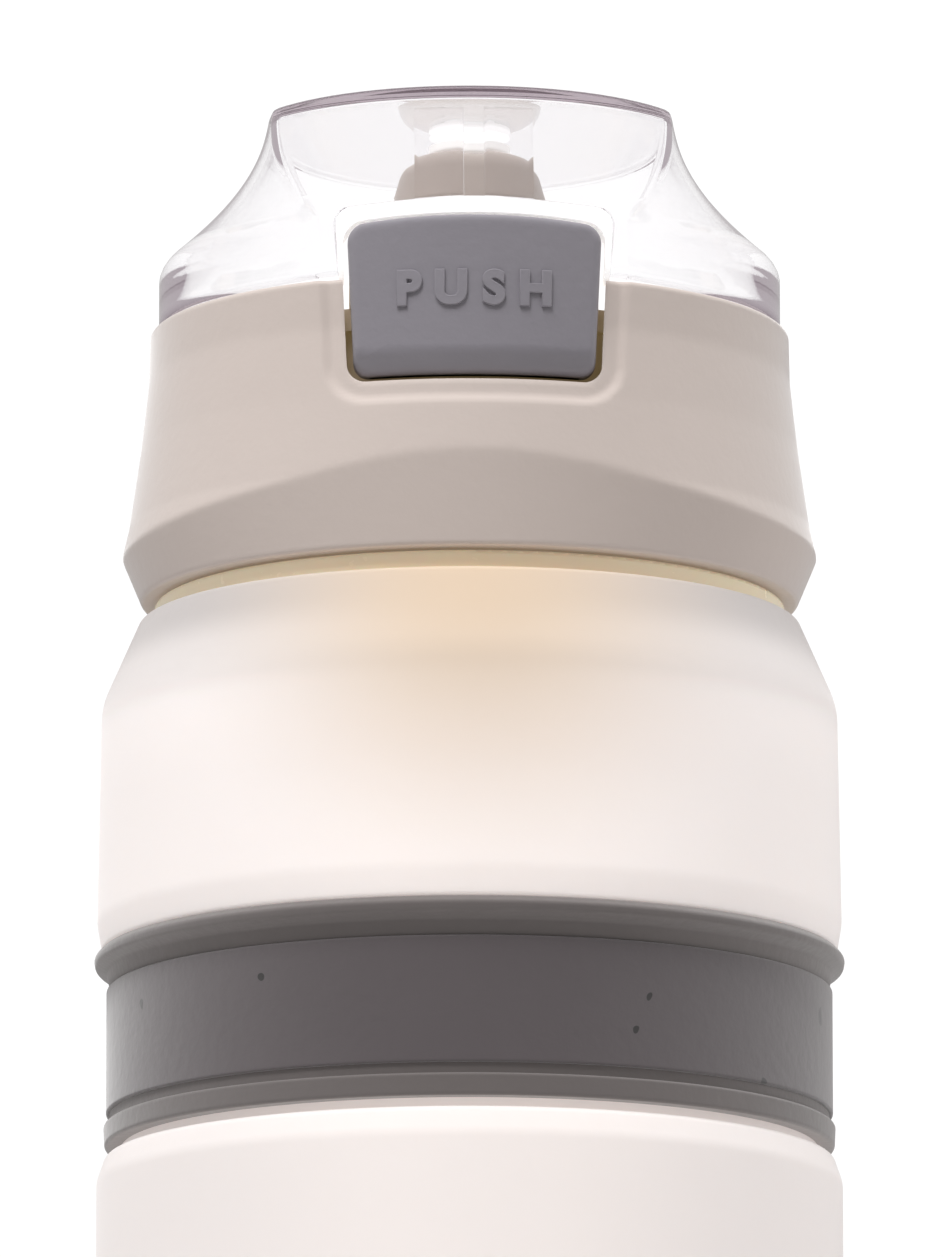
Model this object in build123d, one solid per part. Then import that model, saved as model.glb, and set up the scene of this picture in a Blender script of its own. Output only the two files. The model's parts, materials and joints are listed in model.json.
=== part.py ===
from build123d import *
import os
from math import cos, pi, radians, sin, tan

# Folding water bottle with a flip cover, a push button and a screw lid, in millimetres.
# The bottle stands on z = 0, its axis is Z, and the button faces -Y.

# Driving dimensions
BODY_R = 37.15            # outer radius of the silicone body
WALL = 2.2                # thickness of the silicone wall
FOOT_TOP = 10.0           # top of the foot rim
FOLD_R = 32.2             # outer radius of everything that folds up inside the wall
WEB_BOTTOM = 3.0          # where the fold web leaves the rim's inner wall
WEB_TOP = 6.0             # where the fold web meets the base plate
BASE_THICK = 2.6          # thickness of the base plate
WALL_TOP = 99.2           # top of the lower wall, just under the band
BAND_BOTTOM = 100.2       # lower edge of the grey band
BAND_TOP = 119.8          # upper edge of the grey band
BAND_FACE_R = 36.2        # radius of the band's main face
BAND_TIP_R = 37.5         # radius of the band's upper flange
BAND_BACK_R = 34.7        # radius on which the band sits
WAIST_R = 33.2            # inner radius of the body behind the band
SOCKET_R = 31.0           # socket that holds the neck insert's flange
SOCKET_LOW = 148.6
SOCKET_HIGH = 150.8
INSERT_BOTTOM = 145.6     # lower end of the neck insert
INSERT_SKIRT_R = 28.2     # outside of the neck insert, below the shoulder's top
SHOULDER_TOP = 153.1      # top edge of the silicone body
COLLAR_BOTTOM = 155.3     # lower edge of the lid collar
COLLAR_TOP = 182.7        # upper edge of the lid collar
COLLAR_FOOT_R = 32.85     # collar radius at its lower edge
COLLAR_INNER_R = 30.6     # inside of the collar's wall
CORE_R = 28.0             # outside of the lid's threaded inner cup
NECK_BORE_R = 22.8        # inside of the bottle's mouth
NECK_R = 25.0             # neck, under its thread
NECK_TOP = 176.3          # top of the neck
THREAD_PITCH = 4.0        # rise of the screw thread per turn
THREAD_DEPTH = 1.0        # height of the thread ridges
GASKET_THICK = 1.7        # lid gasket
DECK_THICK = 2.2          # deck of the lid
SKIRT_R = 31.2            # outer radius of the cover's skirt
SKIRT_BOTTOM = 182.9      # lower edge of the cover
SKIRT_TOP = 189.1         # where the cover's sides start to sweep in
COVER_TOP = 203.6         # flat top of the cover
COVER_WALL = 1.8          # thickness of the clear cover
COVER_TOP_R = 23.05       # front and back radius of the cover's top
COVER_TOP_HALF = 20.3     # half width of the cover's top
PANEL_FOOT_ANGLE = 29.8   # half angle of the front panel at the skirt, in degrees
PANEL_TOP_ANGLE = 59.5    # half angle of the front panel at the top, in degrees
SWEEP_POWER = 1.7         # how strongly the cover's sides curve in
BUTTON_R = 33.1           # radius of the button's face
BUTTON_THICK = 2.2        # thickness of the button's plate
BUTTON_BOTTOM = 172.65    # lower edge of the button
BUTTON_TOP = 188.5        # middle of the button's upper edge
BUTTON_TOP_HALF = 12.6    # half width of the button at its top
BUTTON_FOOT_HALF = 11.85  # half width of the button at its bottom
BUTTON_GAP = 0.65         # gap round the button
LIP_WIDTH = 1.75          # shallow lip round the button's recess
BUTTON_TRAVEL = 1.6       # how far the button can be pressed
HINGE_Y = 33.8            # cover hinge, behind the lid
HINGE_Z = 184.9
KNUCKLE_R = 2.6
PIN_R = 1.0
PIN_CLEAR = 0.06          # radial running clearance of the pin in the cover
SPOUT_R = 6.4             # outside of the hard spout
SPOUT_BORE_R = 4.0        # way through the spout
SPOUT_TOP = 196.0         # upper end of the spout
MOUTH_R = 8.0             # outside of the soft mouthpiece
MOUTH_TOP = 200.8         # top of the mouthpiece
MOUTH_HOLE_R = 2.9        # drinking hole
VENT_Y = 17.0             # place of the air valve, behind the spout

DECK_BOTTOM = NECK_TOP + GASKET_THICK
DECK_TOP = DECK_BOTTOM + DECK_THICK
BIG = 200.0               # longer than the whole bottle, for cutting

os.makedirs("parts", exist_ok=True)


def rounded_outline(points):
    """Closed outline in X and Z through corners (radius, height, fillet radius), rounded by arcs."""
    edges = []
    ends = []
    for i, (r, z, fillet_r) in enumerate(points):
        here = Vector(r, 0, z)
        before = (Vector(points[i - 1][0], 0, points[i - 1][1]) - here)
        after = (Vector(points[(i + 1) % len(points)][0], 0, points[(i + 1) % len(points)][1]) - here)
        half = radians(before.get_angle(after)) / 2
        cut = min(fillet_r / tan(half), 0.48 * before.length, 0.48 * after.length)
        start = here + before.normalized() * cut
        end = here + after.normalized() * cut
        if cut > 0:
            depth = cut / cos(half) - cut * tan(half)
            middle = here + (before.normalized() + after.normalized()).normalized() * depth
            edges.append(ThreePointArc(start, middle, end))
        ends.append((start, end))
    for i, (start, _) in enumerate(ends):
        edges.append(Line(ends[i - 1][1], start))
    return Curve() + edges


def turned(points):
    """A ring or disc turned about Z from corners (radius, height, fillet radius)."""
    return revolve(make_face(rounded_outline(points)), Axis.Z)


def tube(outer_r, inner_r, low, high):
    """A plain tube about Z."""
    return turned([(inner_r, low, 0), (outer_r, low, 0), (outer_r, high, 0), (inner_r, high, 0)])


def disc(radius, low, high):
    """A plain disc about Z."""
    return Pos(0, 0, low) * Cylinder(radius, high - low, align=(Align.CENTER, Align.CENTER, Align.MIN))


def block(x0, x1, y0, y1, z0, z1):
    """A box between two corners."""
    return Pos((x0 + x1) / 2, (y0 + y1) / 2, (z0 + z1) / 2) * Box(x1 - x0, y1 - y0, z1 - z0)


def rod(radius, x0, x1, y, z):
    """A cylinder along X."""
    return Pos((x0 + x1) / 2, y, z) * Rot(0, 90, 0) * Cylinder(radius, x1 - x0)


def mirrored(shape):
    """The shape and its mirror image left of the middle."""
    return shape + mirror(shape, Plane.YZ)


def coil(mean_r, wire_r, pitch, height):
    """A helical spring about Z, starting at z = 0."""
    path = Helix(pitch, height, mean_r)
    return sweep(Plane(path @ 0, z_dir=path % 0) * Circle(wire_r), path=path, is_frenet=True)


def thread(radius, low, turns, outward):
    """A right-hand screw ridge on a cylinder of the given radius, outside it or inside it."""
    way = 1 if outward else -1
    path = Helix(THREAD_PITCH, THREAD_PITCH * turns, radius)
    root = 0.2                # how far the ridge sinks into its cylinder
    tip = 0.35                # half thickness of the ridge at its crest
    foot = 0.85               # half thickness of the ridge at its root
    ridge = Polyline(
        (radius - way * root, 0, -foot),
        (radius + way * THREAD_DEPTH, 0, -tip),
        (radius + way * THREAD_DEPTH, 0, tip),
        (radius - way * root, 0, foot),
        close=True,
    )
    return Pos(0, 0, low) * sweep(make_face(ridge), path=path, is_frenet=True)


# ---- silicone body and its grey band ----

def foot_rim():
    """Rounded rim the bottle stands on: outer wall, round bottom and a low inner wall."""
    inner = BODY_R - WALL
    return turned([
        (inner, FOOT_TOP, 0),
        (inner, 4.6, 2.0),
        (FOLD_R + 0.2, 2.2, 0.9),
        (FOLD_R + 0.2, WEB_BOTTOM, 0),
        (FOLD_R - 2.0, WEB_BOTTOM, 0),
        (FOLD_R - 2.0, 0, 0.7),
        (BODY_R - 0.6, 0, 4.6),
        (BODY_R, 7.0, 1.5),
        (BODY_R, FOOT_TOP, 0),
    ])


def fold_web():
    """Short ring that lengthens as the base rises inside the wall."""
    return tube(FOLD_R, FOLD_R - 1.8, WEB_BOTTOM, WEB_TOP)


def base_plate():
    """Thick bottom with a raised middle and a shallow ring groove underneath."""
    plate = turned([
        (0, WEB_TOP + 1.4, 0),
        (FOLD_R - 10, WEB_TOP + 1.4, 1.0),
        (FOLD_R - 11.5, WEB_TOP, 1.0),
        (FOLD_R, WEB_TOP, 0),
        (FOLD_R, WEB_TOP + BASE_THICK, 0.8),
        (0, WEB_TOP + BASE_THICK + 0.6, 0),
    ])
    return plate


def lower_wall():
    """Body wall from the foot rim up to just under the band."""
    inner = BODY_R - WALL
    return turned([
        (inner, FOOT_TOP, 0),
        (BODY_R, FOOT_TOP, 0),
        (BODY_R, WALL_TOP - 2.6, 3.0),
        (BODY_R - 0.9, WALL_TOP, 0.5),
        (inner, WALL_TOP, 0),
    ])


def upper_body():
    """Body wall behind and above the band, drawn in to the neck by a rounded shoulder."""
    return turned([
        (WAIST_R, WALL_TOP, 0),
        (BAND_BACK_R, WALL_TOP, 0),
        (BAND_BACK_R, BAND_TOP, 0),
        (BODY_R - 0.5, BAND_TOP, 0.4),
        (BODY_R, BAND_TOP + 3, 6.0),
        (BODY_R - 0.35, 144.6, 6.0),
        (COLLAR_FOOT_R + 0.25, SHOULDER_TOP, 0.5),
        (INSERT_SKIRT_R, SHOULDER_TOP, 0),
        (INSERT_SKIRT_R, SOCKET_HIGH, 0),
        (SOCKET_R, SOCKET_HIGH, 0),
        (SOCKET_R, SOCKET_LOW, 0),
        (INSERT_SKIRT_R, SOCKET_LOW, 0),
        (INSERT_SKIRT_R, INSERT_BOTTOM, 0),
        (INSERT_SKIRT_R + 1.0, INSERT_BOTTOM - 1.0, 2.0),
        (BODY_R - WALL - 0.2, 139.0, 6.0),
        (BODY_R - WALL, BAND_TOP + 3, 4.0),
        (WAIST_R, BAND_TOP - 2, 4.0),
    ])


def waist_ring():
    """Stiff ring round the waist with an upper and a lower flange."""
    back = 1.0                # thickness behind the grip band
    return turned([
        (BAND_BACK_R, BAND_BOTTOM, 0),
        (BAND_FACE_R + 0.15, BAND_BOTTOM, 0.3),
        (BAND_FACE_R + 0.25, BAND_BOTTOM + 2.2, 0.4),
        (BAND_FACE_R - 0.35, BAND_BOTTOM + 2.2, 0),
        (BAND_FACE_R - 0.35, BAND_BOTTOM + 3.3, 0),
        (BAND_BACK_R + back, BAND_BOTTOM + 3.3, 0),
        (BAND_BACK_R + back, BAND_TOP - 3.8, 0),
        (BAND_FACE_R - 0.4, BAND_TOP - 3.8, 0),
        (BAND_FACE_R, BAND_TOP - 2.1, 0.5),
        (BAND_TIP_R - 0.15, BAND_TOP - 1.5, 0.5),
        (BAND_TIP_R, BAND_TOP - 0.7, 0.5),
        (BAND_TIP_R - 0.7, BAND_TOP, 0.5),
        (BAND_BACK_R, BAND_TOP, 0),
    ])


def grip_band():
    """Sleeve that forms the wide main face of the band."""
    low = BAND_BOTTOM + 3.3
    high = BAND_TOP - 3.8
    return turned([
        (BAND_BACK_R + 1.0, low, 0),
        (BAND_FACE_R, low, 0.25),
        (BAND_FACE_R, high, 0.25),
        (BAND_BACK_R + 1.0, high, 0),
    ])


def neck_insert():
    """Stiff threaded mouth ring, held in the silicone by a flange."""
    seat_r = 31.6             # shoulder ring that shows between the silicone and the lid
    seat_top = COLLAR_BOTTOM - 0.3
    ring = turned([
        (NECK_BORE_R, INSERT_BOTTOM, 0.4),
        (INSERT_SKIRT_R, INSERT_BOTTOM, 0),
        (INSERT_SKIRT_R, SOCKET_LOW, 0),
        (SOCKET_R, SOCKET_LOW, 0),
        (SOCKET_R, SOCKET_HIGH, 0),
        (INSERT_SKIRT_R, SOCKET_HIGH, 0),
        (INSERT_SKIRT_R, SHOULDER_TOP, 0),
        (seat_r, SHOULDER_TOP, 0),
        (seat_r, seat_top, 0.4),
        (NECK_R, seat_top, 0.6),
        (NECK_R, NECK_TOP, 0.5),
        (NECK_BORE_R, NECK_TOP, 0.5),
    ])
    return ring + thread(NECK_R, 163.4, 1.5, True)


# ---- lid ----

def lid_gasket():
    """Flat seal ring between the top of the neck and the deck."""
    return tube(NECK_R + 0.9, NECK_BORE_R + 0.2, NECK_TOP, DECK_BOTTOM)


def lid_core():
    """Threaded inner cup with the deck that carries the spout and the air valve."""
    bore_r = NECK_R + THREAD_DEPTH + 0.4
    low = COLLAR_BOTTOM + 1.0
    cup = tube(CORE_R, bore_r, low, DECK_BOTTOM) + disc(COLLAR_INNER_R - 0.1, DECK_BOTTOM, DECK_TOP)
    cup += thread(bore_r, 162.2, 1.6, False)
    button_room = block(-13.4, 13.4, -BIG, -20, DECK_BOTTOM - 1.0, DECK_TOP + 1)
    button_room -= Pos(0, BUTTON_TRAVEL + 0.3, 0) * disc(BUTTON_R - BUTTON_THICK - 0.4, 0, BIG)
    spout_hole = disc(SPOUT_R - 1.1, DECK_BOTTOM - 1, DECK_TOP + 1)
    vent_hole = Pos(0, VENT_Y, 0) * disc(1.6, DECK_BOTTOM - 1, DECK_TOP + 1)
    spring_post = block(-3.0, 3.0, -25.4, -23.6, DECK_TOP, DECK_TOP + 3.8)
    guides = mirrored(block(10.8, 12.3, -26.3, -21.6, DECK_TOP, DECK_TOP + 6.2))
    return cup - button_room - spout_hole - vent_hole + spring_post + guides


def button_outline(grow):
    """Face of the button as seen from the front: a trapezoid with an arched top."""
    arch = 0.7                # how far the middle of the top stands above its corners
    top = BUTTON_TOP - arch + grow
    low = BUTTON_BOTTOM - grow
    upper = BUTTON_TOP_HALF + grow
    foot = BUTTON_FOOT_HALF + grow
    lines = [
        Line((-foot, low), (foot, low)),
        Line((foot, low), (upper, top)),
        ThreePointArc((upper, top), (0, top + arch), (-upper, top)),
        Line((-upper, top), (-foot, low)),
    ]
    face = make_face(Curve() + lines)
    return fillet(face.vertices(), 1.6 + grow / 2)


def front_prism(face, y0, y1):
    """A face drawn in X and Z, pushed back from y0 to y1."""
    plane = Plane((0, y0, 0), x_dir=(1, 0, 0), z_dir=(0, -1, 0))
    return extrude(plane * face, -(y1 - y0))


def collar_form():
    """Outside of the collar: a flared ring whose lower chamfer rises in an arch at the front."""
    flare = turned([
        (0, COLLAR_BOTTOM, 0),
        (35.9, COLLAR_BOTTOM, 0),
        (34.15, 162.7, 0),
        (33.0, 170.6, 12),
        (32.2, COLLAR_TOP - 5, 12),
        (32.1, COLLAR_TOP, 0.7),
        (0, COLLAR_TOP, 0),
    ])
    height = COLLAR_TOP - COLLAR_BOTTOM
    side_half = COLLAR_FOOT_R + 0.42 * height
    front_half = COLLAR_FOOT_R + 0.106 * height
    foot = Plane.XY.offset(COLLAR_BOTTOM) * Ellipse(COLLAR_FOOT_R + 0.01, COLLAR_FOOT_R)
    head = Plane.XY.offset(COLLAR_TOP) * Ellipse(side_half, front_half)
    return flare & loft([foot, head])


def lid_collar():
    """Outer shell of the lid with the button's recess and the hinge knuckles."""
    shell = collar_form() - disc(COLLAR_INNER_R, COLLAR_BOTTOM + 1.4, BIG)
    shell -= disc(CORE_R + 0.5, 0, BIG)
    lip_depth = 0.02          # share of the collar's radius that the lip lies deeper
    recess = front_prism(button_outline(BUTTON_GAP), -BODY_R, -BODY_R + 12)
    lip = front_prism(button_outline(BUTTON_GAP + LIP_WIDTH), -BODY_R, -BODY_R + 12)
    lip -= scale(collar_form(), by=(1 - lip_depth, 1 - lip_depth, 1))
    shell = shell - recess - lip
    bracket = block(9.4, 13.0, COLLAR_INNER_R + 0.2, HINGE_Y, HINGE_Z - 8.4, HINGE_Z)
    foot_cut = Pos(0, HINGE_Y + 1.6, HINGE_Z - 9.4) * Rot(45, 0, 0) * Box(BIG, 4.4, 4.4)
    knuckle = bracket - foot_cut + rod(KNUCKLE_R, 9.4, 13.0, HINGE_Y, HINGE_Z)
    knuckle -= rod(PIN_R, 0, BIG, HINGE_Y, HINGE_Z)
    knuckle -= disc(COLLAR_INNER_R, 0, BIG)
    return shell + mirrored(knuckle)


def push_button():
    """Button plate with a bevelled foot and the latch frame behind it."""
    plate = front_prism(button_outline(0), -BODY_R, -20)
    plate = plate & tube(BUTTON_R, BUTTON_R - BUTTON_THICK, 0, BIG)
    bevel = Pos(0, -BUTTON_R, BUTTON_BOTTOM) * Rot(-26, 0, 0) * Box(BIG, 2.0, 4.4)
    plate -= bevel
    back = -(BUTTON_R - BUTTON_THICK)
    arms = mirrored(block(9.0, 10.6, back, -22.8, 184.2, 186.6))
    bar = block(-10.6, 10.6, -24.4, -22.8, 185.6, 188.0)
    nose = block(-5.2, 5.2, -25.5, -24.4, 186.2, 187.4)
    root = mirrored(block(9.0, 10.6, -31.2, -28.4, 184.2, 186.6))
    inside = root & disc(BUTTON_R - 0.6, 0, BIG)
    return plate + (arms + bar + nose) + inside


def button_spring():
    """Compression spring between the deck's post and the button."""
    wire = 0.22
    length = (BUTTON_R - BUTTON_THICK) - 25.4 - 2 * wire - 0.1
    spring = coil(1.25, wire, 1.25, length)
    return Pos(0, -25.4 - wire - 0.05, DECK_TOP + 1.9) * Rot(90, 0, 0) * spring


def spout():
    """Hard tube fixed in the deck."""
    return turned([
        (SPOUT_BORE_R, DECK_BOTTOM - 2.6, 0),
        (SPOUT_R - 1.2, DECK_BOTTOM - 2.6, 0.3),
        (SPOUT_R - 1.2, DECK_TOP + 0.6, 0),
        (SPOUT_R + 2.6, DECK_TOP + 0.6, 0),
        (SPOUT_R + 2.6, DECK_TOP + 2.0, 0.3),
        (SPOUT_R, DECK_TOP + 2.4, 0.3),
        (SPOUT_R, SPOUT_TOP, 0.5),
        (SPOUT_BORE_R, SPOUT_TOP, 0.4),
    ])


def spout_ring():
    """O-ring under the spout's flange."""
    return Pos(0, 0, DECK_TOP + 0.3) * Torus(SPOUT_R + 0.9, 0.3)


def mouthpiece():
    """Soft domed drinking tip pulled over the spout."""
    low = DECK_TOP + 2.6
    return turned([
        (SPOUT_R + 0.02, low, 0),
        (MOUTH_R + 1.0, low, 0.4),
        (MOUTH_R + 1.0, low + 1.6, 0.5),
        (MOUTH_R, low + 2.6, 0.8),
        (MOUTH_R, MOUTH_TOP - 4.4, 1.0),
        (MOUTH_R - 0.8, MOUTH_TOP, 5.0),
        (MOUTH_HOLE_R, MOUTH_TOP, 0.6),
        (MOUTH_HOLE_R, SPOUT_TOP + 0.1, 0.2),
        (SPOUT_R + 0.02, SPOUT_TOP + 0.1, 0),
    ])


def spout_valve():
    """Slit silicone valve in the foot of the spout."""
    low = DECK_BOTTOM - 2.6
    cup = turned([
        (0, low, 0),
        (SPOUT_BORE_R - 0.02, low, 0.3),
        (SPOUT_BORE_R - 0.02, low + 3.0, 0.3),
        (SPOUT_BORE_R - 0.9, low + 3.0, 0.2),
        (SPOUT_BORE_R - 0.9, low + 1.0, 0.4),
        (0, low + 0.8, 0),
    ])
    return cup - block(-2.2, 2.2, -0.1, 0.1, low - 1, low + 2)


def vent_valve():
    """Mushroom-shaped air valve in the deck."""
    valve = turned([
        (0, DECK_BOTTOM - 1.0, 0),
        (2.2, DECK_BOTTOM - 1.0, 0.3),
        (2.2, DECK_BOTTOM - 0.05, 0),
        (1.55, DECK_BOTTOM - 0.05, 0),
        (1.55, DECK_TOP + 0.05, 0),
        (3.8, DECK_TOP + 0.05, 0),
        (3.8, DECK_TOP + 0.6, 0.2),
        (0, DECK_TOP + 1.5, 0),
    ])
    return Pos(0, VENT_Y, 0) * valve


# ---- flip cover ----

def cover_face(share, inset):
    """Outline of the cover at a share of the way from the skirt's top to the flat top."""
    angle = radians(PANEL_FOOT_ANGLE + (PANEL_TOP_ANGLE - PANEL_FOOT_ANGLE) * share)
    front = SKIRT_R + (COVER_TOP_R - SKIRT_R) * share - inset
    half = COVER_TOP_HALF + (SKIRT_R - COVER_TOP_HALF) * (1 - share) ** SWEEP_POWER - inset
    corner = (front * sin(angle), -front * cos(angle))
    corner_left = (-corner[0], corner[1])
    span = (pi / 2 - angle) / 2
    bulge = front * (1 - cos(span)) * (1 - share) + 0.3 * share
    chord = Vector(half - corner[0], -corner[1])
    outward = Vector(chord.Y, -chord.X).normalized()
    middle = Vector(corner[0], corner[1]) + chord * 0.5 + outward * bulge
    leave = angle + (radians(84) - angle) * share
    right = Spline(
        corner, middle, (half, 0), (half * cos(pi / 6), front / 2), (half / 2, front * cos(pi / 6)), (0, front),
        tangents=[(cos(leave), sin(leave)), (-1, 0)],
    )
    left = mirror(right, Plane.YZ)
    panel = ThreePointArc(corner_left, (0, -front), corner)
    height = SKIRT_TOP + (COVER_TOP - SKIRT_TOP) * share
    return Plane.XY.offset(height) * make_face(Curve() + [panel, right, left])


def cover_dome(inset, top_cut):
    """Swept upper part of the cover, solid, shrunk by the inset."""
    shares = [0, 0.12, 0.28, 0.5, 0.75, 1]
    dome = loft([cover_face(share, inset) for share in shares])
    return dome - block(-BIG, BIG, -BIG, BIG, COVER_TOP - top_cut, COVER_TOP + 1)


def flip_cover():
    """Clear cover with its button notch, shelf, ribs, latch tongue and hinge arms."""
    skirt = disc(SKIRT_R, SKIRT_BOTTOM, SKIRT_TOP)
    outside = skirt + cover_dome(0, 0)
    hollow = disc(SKIRT_R - COVER_WALL, SKIRT_BOTTOM - 1, SKIRT_TOP) + cover_dome(COVER_WALL, 2.0)
    notch_half = BUTTON_TOP_HALF + 0.4
    notch_top = BUTTON_TOP + 0.6
    shelf_top = notch_top + 1.6
    shelf_back = -23.4
    cheek = 0.8
    shelf = block(-notch_half - cheek, notch_half + cheek, -BIG, shelf_back, SKIRT_BOTTOM, shelf_top)
    ribs = mirrored(block(1.0, 6.0, shelf_back - 1.4, shelf_back, notch_top, COVER_TOP - 1))
    cover = outside - hollow + ((shelf + ribs) & outside)
    cover -= block(-notch_half, notch_half, -BIG, shelf_back + 1, SKIRT_BOTTOM - 1, notch_top)
    tongue = block(-5, 5, -27.6, -26.2, 184.4, shelf_top - 0.5)
    barb = block(-5, 5, -26.4, -25.0, 184.4, 185.9)
    cover = cover + tongue + barb
    cover -= rod(KNUCKLE_R + 0.6, -13.6, 13.6, HINGE_Y, HINGE_Z)
    arm = block(5.0, 9.1, SKIRT_R - 1.2, HINGE_Y, HINGE_Z - 1.0, HINGE_Z + KNUCKLE_R)
    arm += rod(KNUCKLE_R, 5.0, 9.1, HINGE_Y, HINGE_Z)
    cover += mirrored(arm)
    return cover - rod(PIN_R + PIN_CLEAR, -BIG, BIG, HINGE_Y, HINGE_Z)


def cover_seal():
    """Silicone plug under the cover's top that closes the drinking hole."""
    top = COVER_TOP - 2.0
    return turned([
        (0, MOUTH_TOP - 1.2, 0),
        (MOUTH_HOLE_R - 0.4, MOUTH_TOP - 1.2, 0.5),
        (MOUTH_HOLE_R - 0.4, MOUTH_TOP + 0.3, 0),
        (MOUTH_R - 1.2, MOUTH_TOP + 0.3, 0.4),
        (MOUTH_R - 1.2, top, 0),
        (0, top, 0),
    ])


def hinge_pin():
    """Steel pin through the knuckles."""
    return rod(PIN_R, -13.0, 13.0, HINGE_Y, HINGE_Z)


def hinge_spring():
    """Torsion spring round the pin, with one leg on the collar and one on the cover."""
    wire = 0.35
    mean_r = 1.75
    turns = 6
    pitch = 1.1
    half = turns * pitch / 2
    body = Pos(-half, HINGE_Y, HINGE_Z) * Rot(0, 90, 0) * coil(mean_r, wire, pitch, 2 * half)
    return body


PARTS = {
    "foot_rim": foot_rim,
    "fold_web": fold_web,
    "base_plate": base_plate,
    "lower_wall": lower_wall,
    "upper_body": upper_body,
    "waist_ring": waist_ring,
    "grip_band": grip_band,
    "neck_insert": neck_insert,
    "lid_gasket": lid_gasket,
    "lid_core": lid_core,
    "lid_collar": lid_collar,
    "push_button": push_button,
    "button_spring": button_spring,
    "spout": spout,
    "spout_ring": spout_ring,
    "mouthpiece": mouthpiece,
    "spout_valve": spout_valve,
    "vent_valve": vent_valve,
    "flip_cover": flip_cover,
    "cover_seal": cover_seal,
    "hinge_pin": hinge_pin,
    "hinge_spring": hinge_spring,
}

for name, make in PARTS.items():
    export_step(make(), f"parts/{name}.step")
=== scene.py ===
import bmesh
import bpy
import json
from math import cos, hypot, pi, radians, sin, sqrt, tan
from mathutils import Matrix, Vector


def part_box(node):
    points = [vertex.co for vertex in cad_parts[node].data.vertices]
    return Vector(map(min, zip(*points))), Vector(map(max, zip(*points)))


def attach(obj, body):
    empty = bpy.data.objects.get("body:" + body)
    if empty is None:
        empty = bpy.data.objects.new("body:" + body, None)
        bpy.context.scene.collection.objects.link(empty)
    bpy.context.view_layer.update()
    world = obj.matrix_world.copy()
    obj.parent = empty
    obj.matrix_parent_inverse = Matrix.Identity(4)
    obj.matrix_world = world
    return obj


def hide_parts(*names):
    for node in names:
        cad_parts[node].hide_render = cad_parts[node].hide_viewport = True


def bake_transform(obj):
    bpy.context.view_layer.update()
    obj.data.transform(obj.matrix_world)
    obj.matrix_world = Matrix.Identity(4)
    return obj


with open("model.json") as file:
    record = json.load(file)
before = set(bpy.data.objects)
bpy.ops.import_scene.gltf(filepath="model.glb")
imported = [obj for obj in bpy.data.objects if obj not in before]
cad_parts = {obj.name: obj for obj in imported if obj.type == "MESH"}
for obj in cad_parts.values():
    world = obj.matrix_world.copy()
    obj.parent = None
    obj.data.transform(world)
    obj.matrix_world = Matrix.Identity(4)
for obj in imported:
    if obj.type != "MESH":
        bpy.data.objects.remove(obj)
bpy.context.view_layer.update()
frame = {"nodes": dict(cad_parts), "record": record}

# Every length below is in millimetres until a mesh is made. The bottle stands on z = 0 and faces -Y.
MM = 0.001
NODES = frame["nodes"]


def low(node, axis):
    """Lowest coordinate of a CAD node along an axis (0, 1 or 2)."""
    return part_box(node)[0][axis] / MM


def high(node, axis):
    """Highest coordinate of a CAD node along an axis."""
    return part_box(node)[1][axis] / MM


# ---- places ----
BODY_R = high("lower_wall", 0)
WALL = 2.2                        # thickness of the silicone
FOOT_TOP = high("foot_rim", 2)
FOLD_R = high("fold_web", 0)
WEB_BOTTOM = low("fold_web", 2)
WEB_TOP = high("fold_web", 2)
WALL_TOP = high("lower_wall", 2)
BAND_BOTTOM = low("waist_ring", 2)
BAND_TOP = high("waist_ring", 2)
BAND_TIP_R = high("waist_ring", 0)
BAND_FACE_R = high("grip_band", 0)
BAND_BACK_R = 34.7
WAIST_R = 33.2
SHOULDER_TOP = high("upper_body", 2)
COLLAR_BOTTOM = low("lid_collar", 2)
COLLAR_TOP = 182.7
COLLAR_FOOT_R = 32.85
COLLAR_INNER_R = 30.6
NECK_TOP = low("lid_gasket", 2)
DECK_TOP = NECK_TOP + 3.9
SKIRT_R = high("flip_cover", 0)
SKIRT_BOTTOM = 182.9
SKIRT_TOP = 189.1
COVER_TOP = high("flip_cover", 2)
COVER_TOP_R = 23.05
COVER_TOP_HALF = 20.3
PANEL_FOOT_ANGLE = 29.8           # half angle of the cover's front panel, in degrees
PANEL_TOP_ANGLE = 59.5
BUTTON_R = -low("push_button", 1)
BUTTON_BOTTOM = low("push_button", 2)
BUTTON_TOP = high("push_button", 2)
BUTTON_TOP_HALF = 12.6
BUTTON_FOOT_HALF = 11.85
BUTTON_GAP = 0.65
MOUTH_R = 8.0
MOUTH_TOP = high("mouthpiece", 2) - 0.5
MOUTH_HOLE_R = 2.9
HINGE_Y = 33.8
HINGE_Z = 184.9
KNUCKLE_R = 2.6
EAR_X = (9.4, 13.0)               # the collar's hinge ears, from their inner to their outer face
ARM_X = (5.0, 9.1)                # the cover's hinge arms
LATCH_Z = 184.4                   # lower end of the cover's latch tongue


# ---- camera, floor and lights ----

def make_camera():
    """Long lens in front of the bottle, looking up at its upper half from below its foot."""
    distance = 1.40
    azimuth = radians(-0.95)
    drop = 0.109                  # how far the lens is below the surface that the bottle stands on
    aim = Vector((0.0002, 0, 0.153))
    cam = bpy.data.cameras.new("camera")
    cam.lens = 407
    cam.sensor_width = 36
    obj = bpy.data.objects.new("camera", cam)
    bpy.context.scene.collection.objects.link(obj)
    obj.location = (sin(azimuth) * distance, -cos(azimuth) * distance, -drop)
    obj.rotation_mode = "QUATERNION"
    obj.rotation_quaternion = (aim - obj.location).to_track_quat("-Z", "Y")
    cam.clip_start = 0.05
    cam.clip_end = 20
    bpy.context.scene.camera = obj


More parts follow.
